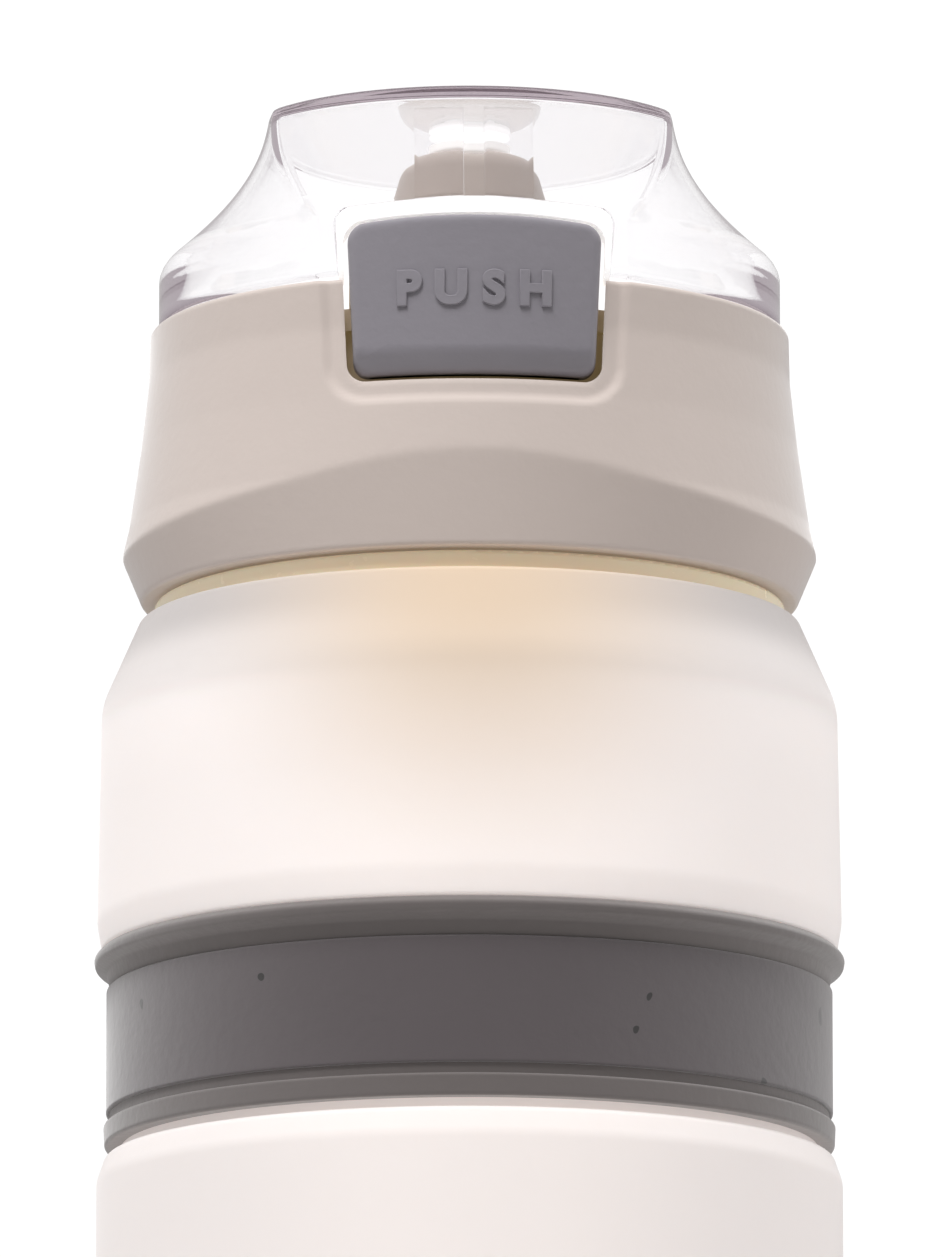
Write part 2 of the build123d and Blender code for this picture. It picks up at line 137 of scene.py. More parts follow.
def make_floor():
    """Round pale table top."""
    radius = 0.45
    steps = 128
    verts = [(0, 0, 0)]
    verts += [(radius * cos(2 * pi * i / steps), radius * sin(2 * pi * i / steps), 0) for i in range(steps)]
    faces = [(0, 1 + i, 1 + (i + 1) % steps) for i in range(steps)]
    mesh = bpy.data.meshes.new("floor")
    mesh.from_pydata(verts, [], faces)
    obj = bpy.data.objects.new("floor", mesh)
    bpy.context.scene.collection.objects.link(obj)
    mat = bpy.data.materials.new("floor_paper")
    mat.use_nodes = True
    shader = mat.node_tree.nodes["Principled BSDF"]
    shader.inputs["Base Color"].default_value = (0.62, 0.615, 0.61, 1)
    shader.inputs["Roughness"].default_value = 0.9
    mesh.materials.append(mat)


class Graph:
    """Node tree of a world or a material, with short calls for the nodes in it."""

    def __init__(self, owner):
        owner.use_nodes = True
        self.tree = owner.node_tree

    def put(self, socket, value):
        """Sets an input to a value, or links it to an output."""
        if isinstance(value, bpy.types.NodeSocket):
            self.tree.links.new(value, socket)
        elif socket.type == "RGBA" and len(value) == 3:
            socket.default_value = (*value, 1)
        else:
            socket.default_value = value

    def node(self, kind, inputs=None, **settings):
        """New node with its settings and its inputs, by name or by number."""
        node = self.tree.nodes.new("ShaderNode" + kind)
        for name, value in settings.items():
            setattr(node, name, value)
        for name, value in (inputs or {}).items():
            self.put(node.inputs[name], value)
        return node

    def split(self, vector):
        """X, Y and Z of a vector."""
        return self.node("SeparateXYZ", {0: vector}).outputs

    def math(self, operation, *values):
        """Result of one piece of arithmetic."""
        return self.node("Math", dict(enumerate(values)), operation=operation).outputs[0]

    def step(self, value, start, end, first=0.0, last=1.0, curve="SMOOTHSTEP"):
        """Takes a value from first to last as it goes from start to end."""
        inputs = {"Value": value, "From Min": start, "From Max": end, "To Min": first, "To Max": last}
        return self.node("MapRange", inputs, interpolation_type=curve).outputs[0]

    def mix(self, fac, a, b, blend="MIX"):
        """Mix of two colours."""
        return self.node("Mix", {0: fac, 6: a, 7: b}, data_type="RGBA", blend_type=blend).outputs[2]

    def noise(self, place, scale, detail):
        """Noise, from 0 to 1."""
        inputs = {"Vector": place, "Scale": scale, "Detail": detail}
        return self.node("TexNoise", inputs).outputs["Fac"]


def make_world():
    """White studio. What lights the bottle is weaker from below and from the front.

    The camera sees plain white, and so does a ray that has passed through clear plastic.
    """
    world = bpy.data.worlds.new("studio")
    bpy.context.scene.world = world
    graph = Graph(world)
    graph.tree.nodes.clear()

    def sky(strength, colour=(1, 1, 1)):
        """Background of one colour."""
        return graph.node("Background", {"Color": colour, "Strength": strength}).outputs[0]

    def either(a, b, fac):
        """Second background where the light path says so, else the first."""
        return graph.node("MixShader", {0: fac, 1: a, 2: b}).outputs[0]

    direction = graph.split(graph.node("TexCoord").outputs["Generated"])
    from_above = graph.step(direction["Z"], -0.5, 0.7, 0.10, 0.74)
    from_behind = graph.step(direction["Y"], -1.0, -0.2, 0.34, 1.0)
    path = graph.node("LightPath").outputs
    studio = sky(graph.math("MULTIPLY", from_above, from_behind), (1.0, 0.98, 0.975))
    seen = either(studio, sky(1.14), path["Is Transmission Ray"])
    seen = either(seen, sky(1.06), path["Is Camera Ray"])
    graph.node("OutputWorld", {"Surface": seen})


def make_light(name, place, size, power):
    """Soft square lamp aimed at the bottle, left out of reflections."""
    lamp = bpy.data.lights.new(name, "AREA")
    lamp.shape = "SQUARE"
    lamp.size = size
    lamp.energy = power
    obj = bpy.data.objects.new(name, lamp)
    bpy.context.scene.collection.objects.link(obj)
    obj.location = place
    obj.rotation_mode = "QUATERNION"
    obj.rotation_quaternion = (Vector((0, 0, 0.14)) - obj.location).to_track_quat("-Z", "Y")
    obj.visible_glossy = False
    obj.visible_transmission = False


make_camera()
make_floor()
make_world()
make_light("top_front", (-0.25, -0.53, 1.25), 0.5, 14.0)
make_light("side_left", (-1.0, 0.3, 0.35), 0.7, 0.4)
make_light("side_right", (1.0, 0.3, 0.35), 0.7, 3.0)
bpy.context.scene.view_settings.view_transform = "Standard"


# ---- materials ----

def make_material(name, colour, roughness, vary=0.03, bump=0.02, painted_neck_glow=None, painted_shade=None, specks=None, **sockets):
    """Moulded plastic or silicone: slight blotches of colour over a fine grain that moves roughness and relief.

    painted_neck_glow is (colour, centre, reach, glow): a painted warm shade that the piece takes round a place,
    in metres, for the collar's shade and the neck insert seen through, and the strength of a painted glow,
    dimmer towards the sides, that stands in for light through the thin silicone.
    painted_shade is a list of (z, factor): painted shade by height, darkest just under the collar and a little
    darker towards the bottom.
    specks is (colour, share) of small dark moulding specks.
    """
    mat = bpy.data.materials.new(name)
    graph = Graph(mat)
    shader = graph.tree.nodes["Principled BSDF"]
    place = graph.node("TexCoord").outputs["Object"]
    dark = tuple(c * (1 - vary) for c in colour)
    light = tuple(min(c * (1 + vary), 1) for c in colour)
    result = graph.mix(graph.step(graph.noise(place, 35, 4), 0.3, 0.7), dark, light)
    if painted_shade:
        # painted shade by height, multiplied into the colour
        result = graph.mix(1.0, result, painted_shade_by_height(graph, place, painted_shade), "MULTIPLY")
    if painted_neck_glow:
        # painted warm shade round the neck, and a painted glow for light through the thin silicone
        painted_warm_shade, centre, reach, glow = painted_neck_glow
        away = graph.node("VectorMath", {0: place, 1: centre}, operation="DISTANCE").outputs["Value"]
        near = graph.step(away, reach, 0.0)
        result = graph.mix(near, result, painted_warm_shade)
        # painted glow colour: warmer near the neck, dimmer off the axis
        inner = graph.mix(near, (1.0, 0.90, 0.86), (1.0, 0.80, 0.60))
        off_axis = graph.step(graph.math("ABSOLUTE", graph.split(place)["X"]), 0.006, 0.030)
        graph.put(shader.inputs["Emission Color"], graph.mix(off_axis, inner, (0.77, 0.70, 0.68)))
        shader.inputs["Emission Strength"].default_value = glow
    if specks:
        speck, share = specks
        result = graph.mix(graph.step(graph.noise(place, 420, 0), 1 - share, 1 - share + 0.01), result, speck)
    graph.put(shader.inputs["Base Color"], result)
    shader.inputs["Roughness"].default_value = roughness
    grain = graph.noise(place, 900, 2)
    if roughness:
        rough = graph.step(grain, 0, 1, max(roughness - 0.06, 0.02), roughness + 0.06, "LINEAR")
        graph.put(shader.inputs["Roughness"], rough)
    if bump:
        relief = graph.node("Bump", {"Strength": bump, "Distance": 0.0002, "Height": grain})
        graph.put(shader.inputs["Normal"], relief.outputs["Normal"])
    for socket, value in sockets.items():
        graph.put(shader.inputs[socket.replace("_", " ")], value)
    return mat


def painted_shade_by_height(graph, place, painted_shade):
    """Painted shade: grey that goes through the factors of painted_shade as z goes through its heights."""
    bottom, top = painted_shade[0][0], painted_shade[-1][0]
    share = graph.step(graph.split(place)["Z"], bottom, top, curve="LINEAR")
    ramp = graph.node("ValToRGB", {0: share})
    elements = ramp.color_ramp.elements
    ramp.color_ramp.interpolation = "EASE"
    elements.remove(elements[1])
    for i, (z, factor) in enumerate(painted_shade):
        element = elements.new((z - bottom) / (top - bottom)) if i else elements[0]
        element.color = (factor, factor, factor, 1)
    return ramp.outputs[0]


def make_clear():
    """Clear plastic, a little grey through its depth. A ray that bounces often inside it ends in a pale glow."""
    last = 6                      # bounce that a ray ends at
    colour = (0.99, 0.99, 0.995)
    mat = make_material("clear_plastic", colour, 0, vary=0, bump=0, Transmission_Weight=1.0, IOR=1.49,
                        Emission_Color=(0.50, 0.45, 0.48))
    graph = Graph(mat)
    absorption = graph.node("VolumeAbsorption", {"Color": (0.46, 0.36, 0.42), "Density": 35})
    graph.put(graph.tree.nodes["Material Output"].inputs["Volume"], absorption.outputs[0])
    depth = graph.node("LightPath").outputs["Ray Depth"]
    shader = graph.tree.nodes["Principled BSDF"]
    graph.put(shader.inputs["Emission Strength"], graph.math("COMPARE", depth, last, 0.5))
    past = graph.math("GREATER_THAN", depth, last - 0.5)
    graph.put(shader.inputs["Base Color"], graph.mix(past, colour, (0, 0, 0)))
    return mat


# painted shade by height, and a painted warm shade and glow round the neck
SILICONE = make_material("frosted_silicone", (0.80, 0.765, 0.75), 0.45, vary=0.008, bump=0.05,
                         painted_neck_glow=((0.44, 0.345, 0.26), (0.0, -0.033, 0.152), 0.034, 0.38),
                         painted_shade=((0.089, 0.79), (0.106, 0.82), (0.113, 0.92), (0.133, 0.93), (0.141, 0.98),
                                (0.1465, 0.62), (0.151, 0.36)),
                         Subsurface_Weight=0.3, Subsurface_Scale=0.003, Subsurface_Radius=(1.0, 0.9, 0.8),
                         Sheen_Weight=0.3, Sheen_Roughness=0.35)
BEIGE = make_material("beige_plastic", (0.66, 0.575, 0.53), 0.42, vary=0.012, bump=0.15,
                      Sheen_Weight=0.8, Sheen_Roughness=0.35)
# painted glow: the core glows faintly yellow, so that the gap round the button looks lit
CORE_BEIGE_GLOWING = make_material("beige_core_painted_glow", (0.66, 0.56, 0.48), 0.42, vary=0.012, bump=0.15,
                           Emission_Color=(1.0, 0.75, 0.30), Emission_Strength=0.055)
MILKY = make_material("milky_plastic", (0.90, 0.88, 0.85), 0.25, vary=0.01, Subsurface_Weight=0.4,
                      Subsurface_Scale=0.003)
BUTTON_GREY = make_material("button_grey", (0.285, 0.27, 0.30), 0.45, vary=0.03, bump=0.25)
RING_GREY = make_material("ring_grey", (0.15, 0.132, 0.128), 0.5, vary=0.04, bump=0.2, Sheen_Weight=0.6)
GRIP_GREY = make_material("grip_grey", (0.103, 0.088, 0.093), 0.5, vary=0.04, bump=0.2, Sheen_Weight=0.7,
                          specks=((0.02, 0.018, 0.018), 0.17))
# painted glow: the neck insert glows warm, so that its ring under the collar looks lit
NATURAL_GLOWING = make_material("natural_plastic_painted_glow", (0.80, 0.70, 0.50), 0.25, vary=0.01, Subsurface_Weight=0.4,
                        Subsurface_Scale=0.003, Emission_Color=(1.0, 0.87, 0.66), Emission_Strength=0.16)
SOFT_BEIGE = make_material("beige_silicone", (0.40, 0.335, 0.30), 0.35, vary=0.12)
# painted glow: the seal glows white, so that it stays pale in the cover's shade
SEAL_GLOWING = make_material("milky_silicone_painted_glow", (0.93, 0.92, 0.91), 0.4, vary=0.01, Emission_Color=(1.0, 0.99, 0.98),
                     Emission_Strength=0.3)
STEEL = make_material("drawn_steel", (0.6, 0.6, 0.6), 0.28, vary=0.05, Metallic=1.0)
CLEAR = make_clear()
# painted glow: the frame round the notch glows white, standing in for light carried along the clear plastic
FROSTED_GLOWING = make_material("frosted_clear_painted_glow", (0.98, 0.975, 0.975), 0.35, vary=0, Transmission_Weight=0.45,
                        IOR=1.3, Emission_Color=(1, 1, 1), Emission_Strength=0.22)

FINISH = {
    "clear": CLEAR, "beige": BEIGE, "soft_beige": SOFT_BEIGE, "button_grey": BUTTON_GREY,
    "silicone": SILICONE, "ring_grey": RING_GREY, "grip_grey": GRIP_GREY, "natural": NATURAL_GLOWING,
    "seal": SEAL_GLOWING, "steel": STEEL,
}
SLOT_OF = {row["node"]: row["material_slot"] for row in frame["record"]["subparts"]}
for node, slot in SLOT_OF.items():
    mesh = NODES[node].data
    mesh.materials.clear()
    mesh.materials.append(CORE_BEIGE_GLOWING if node == "lid_core" else FINISH[slot])


# ---- mesh helpers ----

def new_object(name, verts, faces, smooth_angle=35):
    """Mesh object from millimetres, smooth but for edges sharper than the angle."""
    mesh = bpy.data.meshes.new(name)
    mesh.from_pydata([(x * MM, y * MM, z * MM) for x, y, z in verts], [], faces)
    mesh.update()
    bm = bmesh.new()
    bm.from_mesh(mesh)
    bmesh.ops.remove_doubles(bm, verts=bm.verts, dist=1e-7)
    bmesh.ops.recalc_face_normals(bm, faces=bm.faces)
    bm.to_mesh(mesh)
    bm.free()
    smoothed(mesh, smooth_angle)
    return in_scene(name, mesh)


def stands_for(obj, node, body=None, slot=None):
    """The piece replaces a CAD node, takes its finish, and rides on a body unless it is blended."""
    slot = slot or SLOT_OF[node]
    obj.data.materials.clear()
    obj.data.materials.append(FINISH[slot])
    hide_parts(node)
    if body:
        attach(obj, body)
    return obj


def smoothed(mesh, angle):
    """Smooth shading but for edges sharper than the angle."""
    mesh.shade_smooth()
    mesh.set_sharp_from_angle(angle=radians(angle))


def in_scene(name, mesh):
    """New object of a mesh, in the scene."""
    obj = bpy.data.objects.new(name, mesh)
    bpy.context.scene.collection.objects.link(obj)
    return obj


def joined(name, objs):
    """One object from several."""
    bm = bmesh.new()
    for obj in objs:
        bm.from_mesh(obj.data)
        bpy.data.objects.remove(obj)
    mesh = bpy.data.meshes.new(name)
    bm.to_mesh(mesh)
    bm.free()
    smoothed(mesh, 35)
    return in_scene(name, mesh)


def baked(obj):
    """Object's mesh with its modifiers applied."""
    graph = bpy.context.evaluated_depsgraph_get()
    mesh = bpy.data.meshes.new_from_object(obj.evaluated_get(graph))
    obj.modifiers.clear()
    obj.data = mesh
    return mesh


def combined(target, tool, operation, smooth_angle=32):
    """Boolean of two closed meshes, baked into the first."""
    mod = target.modifiers.new("combine", "BOOLEAN")
    mod.object = tool
    mod.operation = operation
    mod.solver = "EXACT"
    mesh = baked(target)
    bpy.data.objects.remove(tool)
    smoothed(mesh, smooth_angle)
    return target


def bevelled(obj, width):
    """Rounds the edges sharper than 60 degrees."""
    mod = obj.modifiers.new("soften", "BEVEL")
    mod.width = width * MM
    mod.segments = 3
    mod.limit_method = "ANGLE"
    mod.angle_limit = radians(60)
    baked(obj)
    return obj


def rounded(points, steps=5, closed=True, guard=0.12):
    """Points (r, z) along corners (r, z, fillet radius): an arc at each corner, with guard points beside it."""
    count = len(points)
    result = []
    for i, (r, z, radius) in enumerate(points):
        here = Vector((r, z))
        if radius == 0 or (not closed and i in (0, count - 1)):
            result.append([here])
            continue
        before = Vector(points[i - 1][:2]) - here
        after = Vector(points[(i + 1) % count][:2]) - here
        half = before.angle(after) / 2
        cut = min(radius / tan(half), 0.48 * before.length, 0.48 * after.length)
        true_r = cut * tan(half)
        start = here + before.normalized() * cut
        end = here + after.normalized() * cut
        centre = here + (before.normalized() + after.normalized()).normalized() * (true_r / sin(half))
        a = start - centre
        b = end - centre
        sweep = a.angle_signed(b)
        result.append([centre + Matrix.Rotation(-sweep * k / steps, 2) @ a for k in range(steps + 1)])
    line = []
    for i, group in enumerate(result):
        line += group
        if closed or i < count - 1:
            following = result[(i + 1) % count][0]
            gap = following - group[-1]
            if gap.length > 3 * guard:
                line.append(group[-1] + gap.normalized() * guard)
                line.append(following - gap.normalized() * guard)
    return [(p.x, p.y) for p in line]


def split_long(line, longest):
    """The same line with points added on stretches longer than a length."""
    result = []
    for i, (r, z) in enumerate(line):
        result.append((r, z))
        r2, z2 = line[(i + 1) % len(line)]
        parts = int(hypot(r2 - r, z2 - z) / longest)
        for k in range(1, parts + 1):
            share = k / (parts + 1)
            result.append((r + (r2 - r) * share, z + (z2 - z) * share))
    return result


def lathe(name, line, steps=192, centre=(0, 0), smooth_angle=35):
    """Closed ring or disc turned about Z from a closed line of (r, z)."""
    verts = []
    rows = len(line)
    for j in range(steps):
        angle = 2 * pi * j / steps
        verts += [(centre[0] + r * cos(angle), centre[1] + r * sin(angle), z) for r, z in line]
    faces = []
    for j in range(steps):
        a = j * rows
        b = ((j + 1) % steps) * rows
        for i in range(rows):
            k = (i + 1) % rows
            if line[i][0] == 0 and line[k][0] == 0:
                continue
            faces.append((a + i, b + i, b + k, a + k))
    return new_object(name, verts, faces, smooth_angle)


def box_mesh(name, x0, x1, y0, y1, z0, z1, soften=0.0):
    """Closed box, its edges rounded."""
    mesh = bpy.data.meshes.new(name)
    bm = bmesh.new()
    bmesh.ops.create_cube(bm, size=1)
    for v in bm.verts:
        v.co = ((x0 + x1) / 2 + v.co.x * (x1 - x0), (y0 + y1) / 2 + v.co.y * (y1 - y0),
                (z0 + z1) / 2 + v.co.z * (z1 - z0))
        v.co *= MM
    if soften:
        bmesh.ops.bevel(bm, geom=bm.edges[:] + bm.verts[:], offset=soften * MM, segments=3, profile=0.5,
                        affect="EDGES")
    bm.to_mesh(mesh)
    bm.free()
    return in_scene(name, mesh)


# ---- silicone body ----

def make_foot():
    """Rounded rim that the bottle stands on, with the lip that holds the fold web."""
    inner = BODY_R - WALL
    line = rounded([
        (inner, FOOT_TOP, 0), (inner, 4.6, 2.0), (FOLD_R + 0.2, 2.2, 0.9), (FOLD_R + 0.2, WEB_BOTTOM, 0),
        (FOLD_R - 2.0, WEB_BOTTOM, 0), (FOLD_R - 2.0, 0, 0.7), (BODY_R - 0.6, 0, 4.6), (BODY_R, 7.0, 1.5),
        (BODY_R, FOOT_TOP, 0),
    ], steps=8)
    return stands_for(lathe("silicone_foot", line), "foot_rim", "foot")


def make_web():
    """Silicone that turns inwards at the rim and grows longer as the bottle folds."""
    line = rounded([(FOLD_R, WEB_BOTTOM, 0), (FOLD_R, WEB_TOP, 0), (FOLD_R - 1.8, WEB_TOP, 0),
                    (FOLD_R - 1.8, WEB_BOTTOM, 0)])
    obj = stands_for(lathe("silicone_fold", split_long(line, 0.4)), "fold_web")
    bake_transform(obj)


def make_base():
    """Thick bottom, dished on its underside."""
    top = high("base_plate", 2)
    dish = 1.4
    line = rounded([
        (0, WEB_TOP + dish, 0), (FOLD_R - 10, WEB_TOP + dish, 1.0), (FOLD_R - 11.5, WEB_TOP, 1.0),
        (FOLD_R, WEB_TOP, 0), (FOLD_R, top - 0.6, 0.8), (0, top, 0),
    ])
    stands_for(lathe("silicone_base", line), "base_plate", "base")


def make_wall():
    """Wall below the band, which shortens as the bottle folds."""
    inner = BODY_R - WALL
    line = rounded([
        (inner, FOOT_TOP, 0), (BODY_R, FOOT_TOP, 0), (BODY_R, WALL_TOP - 2.6, 3.0),
        (BODY_R - 0.9, WALL_TOP, 0.8), (inner, WALL_TOP, 0),
    ], steps=8)
    obj = stands_for(lathe("silicone_wall", split_long(line, 2.0)), "lower_wall")
    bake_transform(obj)


def make_shoulder():
    """Upper body: held behind the band, bulging over it, and leaning in to the neck."""
    neck_r = 28.2                 # hole round the neck
    bend_z = 144.6                # where the outside starts to lean in
    inner_bend_z = 139.0
    inner = BODY_R - WALL
    line = rounded([
        (WAIST_R, WALL_TOP, 0), (BAND_BACK_R, WALL_TOP, 0), (BAND_BACK_R, BAND_TOP, 0),
        (BODY_R - 0.5, BAND_TOP, 0.5), (BODY_R, BAND_TOP + 3, 6.0), (BODY_R - 0.35, bend_z, 7.0),
        (COLLAR_FOOT_R + 0.2, SHOULDER_TOP, 0.6), (neck_r + 3.5, SHOULDER_TOP, 0), (neck_r, SHOULDER_TOP, 0),
        (neck_r, bend_z + 1, 0), (neck_r + 1, bend_z, 2.0), (inner - 0.2, inner_bend_z, 6.0),
        (inner, BAND_TOP + 3, 4.0), (WAIST_R, BAND_TOP - 2, 4.0),
    ], steps=10)
    stands_for(lathe("silicone_shoulder", line), "upper_body", "shell")


def make_band():
    """Stiff ring with an upper flange, a groove and a lower lip, and the wide grip face between them."""
    back = BAND_BACK_R + 1.0
    low_edge = BAND_BOTTOM + 3.3
    high_edge = BAND_TOP - 3.8
    ring = rounded([
        (BAND_BACK_R, BAND_BOTTOM, 0), (BAND_FACE_R + 0.15, BAND_BOTTOM, 0.35),
        (BAND_FACE_R + 0.25, BAND_BOTTOM + 2.2, 0.35), (BAND_FACE_R - 0.35, BAND_BOTTOM + 2.2, 0.1),
        (BAND_FACE_R - 0.35, low_edge, 0), (back, low_edge, 0), (back, high_edge, 0),
        (BAND_FACE_R - 0.4, high_edge, 0), (BAND_FACE_R, BAND_TOP - 2.1, 0.6),
        (BAND_TIP_R - 0.15, BAND_TOP - 1.5, 0.5), (BAND_TIP_R, BAND_TOP - 0.7, 0.5),
        (BAND_TIP_R - 0.7, BAND_TOP, 0.5), (BAND_BACK_R, BAND_TOP, 0),
    ])
    stands_for(lathe("waist_ring_detailed", ring), "waist_ring", "shell")
    face = rounded([
        (back, low_edge, 0), (BAND_FACE_R, low_edge, 0.3), (BAND_FACE_R, high_edge, 0.3), (back, high_edge, 0),
    ])
    stands_for(lathe("grip_band_detailed", face), "grip_band", "shell")


# ---- lid ----

def button_line(grow, radius=1.6, steps=8, count=24):
    """Closed outline (x, z) of the button seen from the front: trapezoid with an arched top."""
    arch = 0.7
    top = BUTTON_TOP - arch + grow
    base = BUTTON_BOTTOM - grow
    upper = BUTTON_TOP_HALF + grow
    foot = BUTTON_FOOT_HALF + grow
    fillet = max(radius + grow / 2, 0.3)
    corner = rounded([(-foot, base, fillet), (foot, base, fillet), (upper, top, fillet), (-upper, top, fillet)],
                     steps=steps)
    line = []
    for x, z in split_long(corner, 2 * upper / count):
        share = min(max((z - base) / (top - base), 0), 1) ** 12
        line.append((x, z + arch * share * (1 - (x / upper) ** 2)))
    return line


def line_distance(x, z, line):
    """Signed distance from a point to a closed outline, negative inside."""
    best = 1e9
    inside = False
    for i, (x1, z1) in enumerate(line):
        x2, z2 = line[(i + 1) % len(line)]
        dx, dz = x2 - x1, z2 - z1
        t = ((x - x1) * dx + (z - z1) * dz) / (dx * dx + dz * dz + 1e-12)
        t = min(max(t, 0), 1)
        best = min(best, hypot(x - x1 - t * dx, z - z1 - t * dz))
        if (z1 > z) != (z2 > z) and x < (x2 - x1) * (z - z1) / (z2 - z1) + x1:
            inside = not inside
    return -best if inside else best


def prism(name, line, y0, y1):
    """Closed prism of an outline in X and Z, from y0 back to y1."""
    count = len(line)
    verts = [(x, y0, z) for x, z in line] + [(x, y1, z) for x, z in line]
    faces = [(i, (i + 1) % count, count + (i + 1) % count, count + i) for i in range(count)]
    faces += [tuple(range(count)), tuple(range(2 * count - 1, count - 1, -1))]
    return new_object(name, verts, faces)


def smooth_step(t):
    """Cubic step from 0 to 1."""
    t = min(max(t, 0), 1)
    return t * t * (3 - 2 * t)


def collar_profile():
    """Outer flare of the collar as a function of height."""
    top_r = 32.1
    line = rounded([
        (top_r + 3.8, COLLAR_BOTTOM, 0), (top_r + 2.05, COLLAR_TOP - 20, 0),
        (top_r + 0.9, COLLAR_TOP - 12.1, 12), (top_r + 0.1, COLLAR_TOP - 5, 12), (top_r, COLLAR_TOP, 0.9),
        (top_r - 1.1, COLLAR_TOP, 0),
    ], steps=12, closed=False)

    def radius(z):
        for (r1, z1), (r2, z2) in zip(line, line[1:]):
            if z1 <= z <= z2 and z2 > z1:
                return r1 + (r2 - r1) * (z - z1) / (z2 - z1)
        return line[-1][0] if z > COLLAR_TOP - 0.01 else line[0][0]
    return radius


def make_collar():
    """Collar: flare cut by a chamfer that rises towards the front, with a soft lip round the recess."""
    flare = collar_profile()
    outline = button_line(BUTTON_GAP)
    side_factor = 0.42            # how fast the chamfer's radius grows with height, at the sides and in front
    front_factor = 0.106
    soft = 0.10                   # rounding where the chamfer meets the flare
    lip_start = 1.5               # width of the lip's flat part
    lip_end = 2.5
    lip_depth = 0.55
    rim_depth = 0.22              # how far the recess's edge is rounded
    foot_r = 28.5                 # inside of the flange under the collar
    flange = COLLAR_BOTTOM + 1.4
    step = 0.35
    angles = [radians(a * 0.5) for a in range(-72, 72)]
    angles += [radians(36 + a * 2) for a in range(144)]
    heights = [COLLAR_BOTTOM + h for h in (0.12, 0.2, 0.35, 0.6, 1.0)]
    heights += [flange + step * k for k in range(int((COLLAR_TOP - flange - 1.0) / step))]
    heights += [COLLAR_TOP - h for h in (0.9, 0.7, 0.5, 0.35, 0.22, 0.12, 0.05)]
    inner = [(COLLAR_INNER_R, COLLAR_TOP), (COLLAR_INNER_R, COLLAR_TOP - 0.3), (COLLAR_INNER_R, 170.0),
             (COLLAR_INNER_R, flange), (foot_r, flange), (foot_r, COLLAR_BOTTOM), (foot_r + 0.2, COLLAR_BOTTOM),
             (COLLAR_FOOT_R - 0.3, COLLAR_BOTTOM), (COLLAR_FOOT_R - 0.15, COLLAR_BOTTOM + 0.03)]
    verts = []
    for angle in angles:
        column = []
        for z in heights:
            rise = z - COLLAR_BOTTOM
            front = COLLAR_FOOT_R + front_factor * rise
            side = COLLAR_FOOT_R + 0.01 + side_factor * rise
            chamfer = 1 / sqrt((cos(angle) / front) ** 2 + (sin(angle) / side) ** 2)
            if rise < 0.3:
                chamfer -= 0.25 * (1 - rise / 0.3) ** 2
            plain = flare(z)
            gap = (plain - chamfer) / soft
            r = min(plain, chamfer) - soft * 0.25 * max(1 - abs(gap) / 2, 0) ** 2
            if cos(angle) > 0.8:
                away = line_distance(r * sin(angle), z, outline)
                drop = lip_depth * (1 - smooth_step((away - lip_start) / (lip_end - lip_start)))
                drop += rim_depth * max(1 - max(away, 0) / 0.35, 0) ** 2
                r -= drop
            column.append((r, z))
        column += inner
        verts += [(r * sin(angle), -r * cos(angle), z) for r, z in column]
    rows = len(heights) + len(inner)
    count = len(angles)
    faces = []
    for j in range(count):
        a = j * rows
        b = ((j + 1) % count) * rows
        for i in range(rows):
            k = (i + 1) % rows
            faces.append((a + i, b + i, b + k, a + k))
    collar = new_object("lid_collar_detailed", verts, faces, 30)
    collar = combined(collar, prism("recess", outline, -45, -24), "DIFFERENCE", 30)
    hinge = [hinge_ear(side) for side in (-1, 1)]
    collar = joined("lid_collar_detailed", [collar] + hinge)
    stands_for(collar, "lid_collar", "lid")


def extruded_x(name, line, x0, x1, soften=0.35):
    """Closed prism of an outline in Y and Z along X, with rounded end edges."""
    count = len(line)
    cy = sum(p[0] for p in line) / count
    cz = sum(p[1] for p in line) / count
    rings = [(x0, soften), (x0 + soften * 0.3, soften * 0.3), (x0 + soften, 0), (x1 - soften, 0),
             (x1 - soften * 0.3, soften * 0.3), (x1, soften)]
    verts = []
    for x, inset in rings:
        for y, z in line:
            reach = hypot(y - cy, z - cz)
            scale = 1 - inset / reach
            verts.append((x, cy + (y - cy) * scale, cz + (z - cz) * scale))
    faces = []
    for j in range(len(rings) - 1):
        for i in range(count):
            k = (i + 1) % count
            faces.append((j * count + i, j * count + k, (j + 1) * count + k, (j + 1) * count + i))
    faces += [tuple(range(count)), tuple(range(len(verts) - 1, len(verts) - 1 - count, -1))]
    return new_object(name, verts, faces)


def hinge_ear(side):
    """Knuckle of the hinge with its bracket down the back of the collar."""
    back = COLLAR_INNER_R + 0.35
    line = [(HINGE_Y + KNUCKLE_R * sin(radians(a)), HINGE_Z + KNUCKLE_R * cos(radians(a)))
            for a in range(-60, 111, 10)]
    line += [(HINGE_Y + 0.6, HINGE_Z - 4.6), (HINGE_Y - 0.9, HINGE_Z - 7.6), (back, HINGE_Z - 8.4),
             (back, HINGE_Z + 0.2)]
    return extruded_x("ear", line, *sorted(side * x for x in EAR_X))


